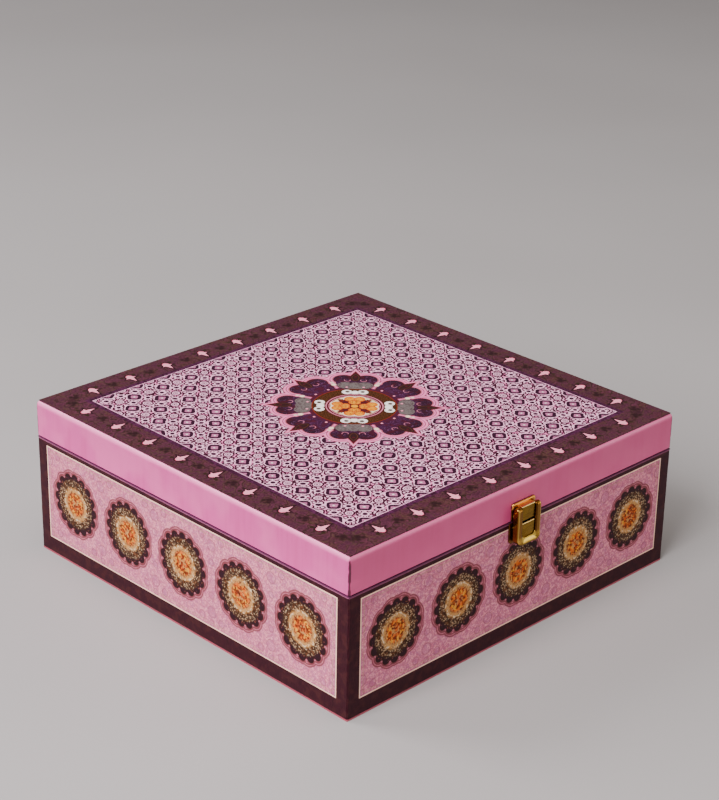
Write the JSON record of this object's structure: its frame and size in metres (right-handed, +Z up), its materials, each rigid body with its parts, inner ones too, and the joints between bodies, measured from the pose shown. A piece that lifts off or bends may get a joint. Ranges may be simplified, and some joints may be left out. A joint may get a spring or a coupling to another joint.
{
  "type": "hamper box",
  "caption": "Square hinged-lid keepsake box in printed paper over fibreboard, with butt hinges at the back and a snap clasp at the front.",
  "frame": {"origin": "middle of the underside, on the surface that the box stands on", "axes": "+Z up; -Y towards the front, where the clasp is; +X to the right of someone who faces the clasp"},
  "size_m": [0.28, 0.291, 0.1032],
  "materials": {
    "board": "matte",
    "plum_print": "satin",
    "top_print": "satin",
    "rose_paper": "satin",
    "lining_paper": "matte",
    "brass": "polished"
  },
  "bodies": {
    "base": {"base_underside_sheet": "rose_paper", "base_floor_board": "board", "base_front_board": "board", "base_back_board": "board", "base_left_board": "board", "base_right_board": "board", "base_side_wrap": "plum_print", "base_floor_lining": "lining_paper", "base_front_lining": "lining_paper", "base_back_lining": "lining_paper", "base_left_lining": "lining_paper", "base_right_lining": "lining_paper", "left_hinge_base_leaf": "brass", "left_hinge_pin": "brass", "left_hinge_base_screw_1": "brass", "left_hinge_base_screw_2": "brass", "right_hinge_base_leaf": "brass", "right_hinge_pin": "brass", "right_hinge_base_screw_1": "brass", "right_hinge_base_screw_2": "brass", "clasp_base_plate": "brass", "clasp_base_brad_left": "brass", "clasp_base_brad_right": "brass"},
    "lid": {"lid_top_board": "board", "lid_front_board": "board", "lid_back_board": "board", "lid_left_board": "board", "lid_right_board": "board", "lid_rim_wrap": "rose_paper", "lid_top_print": "top_print", "lid_top_lining": "lining_paper", "lid_front_lining": "lining_paper", "lid_back_lining": "lining_paper", "lid_left_lining": "lining_paper", "lid_right_lining": "lining_paper", "left_hinge_lid_leaf": "brass", "left_hinge_lid_screw_1": "brass", "left_hinge_lid_screw_2": "brass", "right_hinge_lid_leaf": "brass", "right_hinge_lid_screw_1": "brass", "right_hinge_lid_screw_2": "brass", "clasp_lid_plate": "brass", "clasp_pin": "brass", "clasp_lid_brad_left": "brass", "clasp_lid_brad_right": "brass"},
    "clasp_flap": {"clasp_flap": "brass"}
  },
  "joints": [
    {"name": "lid_hinge", "type": "hinge", "parent": "base", "child": "lid", "pos_m": [0, 0.1418, 0.079], "axis": [-1, 0, 0], "range_deg": [0, 180]},
    {"name": "clasp_hinge", "type": "hinge", "parent": "lid", "child": "clasp_flap", "pos_m": [0, -0.1441, 0.0867], "axis": [-1, 0, 0], "range_deg": [0, 180]}
  ]
}
